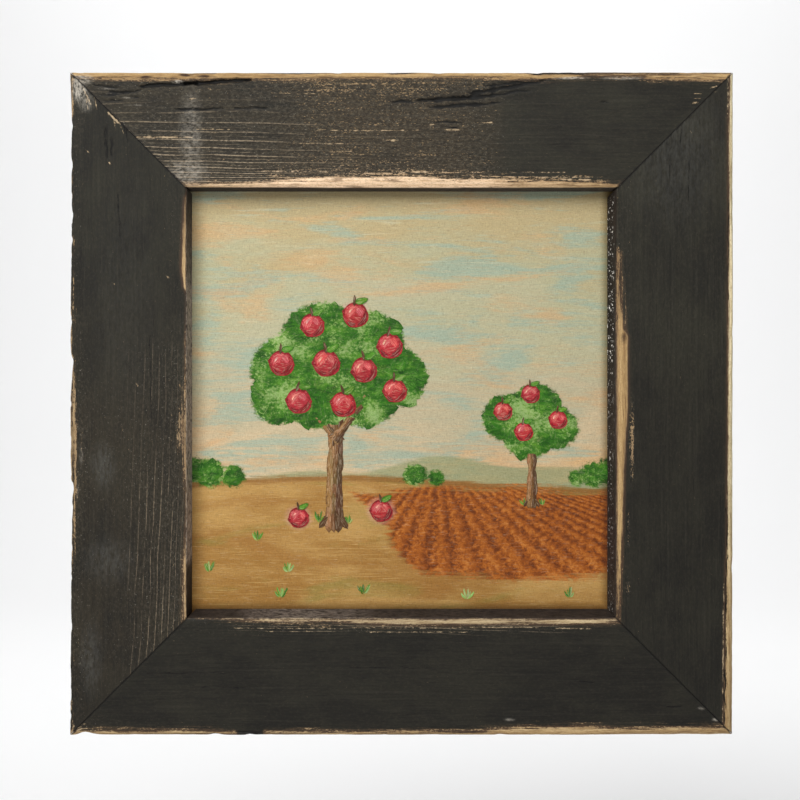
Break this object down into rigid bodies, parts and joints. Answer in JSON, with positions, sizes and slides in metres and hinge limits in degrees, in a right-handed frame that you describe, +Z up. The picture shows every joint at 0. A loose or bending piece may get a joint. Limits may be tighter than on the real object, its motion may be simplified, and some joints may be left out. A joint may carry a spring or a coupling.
{
  "type": "framed wall picture",
  "caption": "Square wall picture in a wide, flat, distressed black wooden frame with mitred corners, hung on a nail by a sawtooth hanger.",
  "frame": {"origin": "the point on the wall where the hanging nail bears in the hanger's middle notch, level with that notch and in the plane of the bumpers' faces", "axes": "+X to the right seen from the front, +Y from the frame into the wall, +Z up; the picture faces -Y"},
  "size_m": [0.381, 0.025, 0.381],
  "materials": {
    "painted_pine": "matt black paint rubbed through to bare pine along the edges, bare pine behind",
    "picture_print": "matt print with a brushed, canvas-like relief",
    "hardboard": "brown hardboard, mesh side out",
    "steel": "zinc plated, slightly dulled",
    "brass": "brass-plated steel, slightly dulled",
    "rubber": "matt black rubber"
  },
  "bodies": {
    "root": {"rail_top": "painted_pine", "rail_right": "painted_pine", "rail_bottom": "painted_pine", "rail_left": "painted_pine", "picture_print": "picture_print", "back_board": "hardboard", "tab_top_1": "steel", "tab_top_2": "steel", "tab_right_1": "steel", "tab_right_2": "steel", "tab_bottom_1": "steel", "tab_bottom_2": "steel", "tab_left_1": "steel", "tab_left_2": "steel", "v_nail_corner_1_1": "steel", "v_nail_corner_1_2": "steel", "v_nail_corner_2_1": "steel", "v_nail_corner_2_2": "steel", "v_nail_corner_3_1": "steel", "v_nail_corner_3_2": "steel", "v_nail_corner_4_1": "steel", "v_nail_corner_4_2": "steel", "sawtooth_hanger": "brass", "hanger_nail_1": "brass", "hanger_nail_2": "brass", "bumper_1": "rubber", "bumper_2": "rubber"}
  },
  "joints": []
}
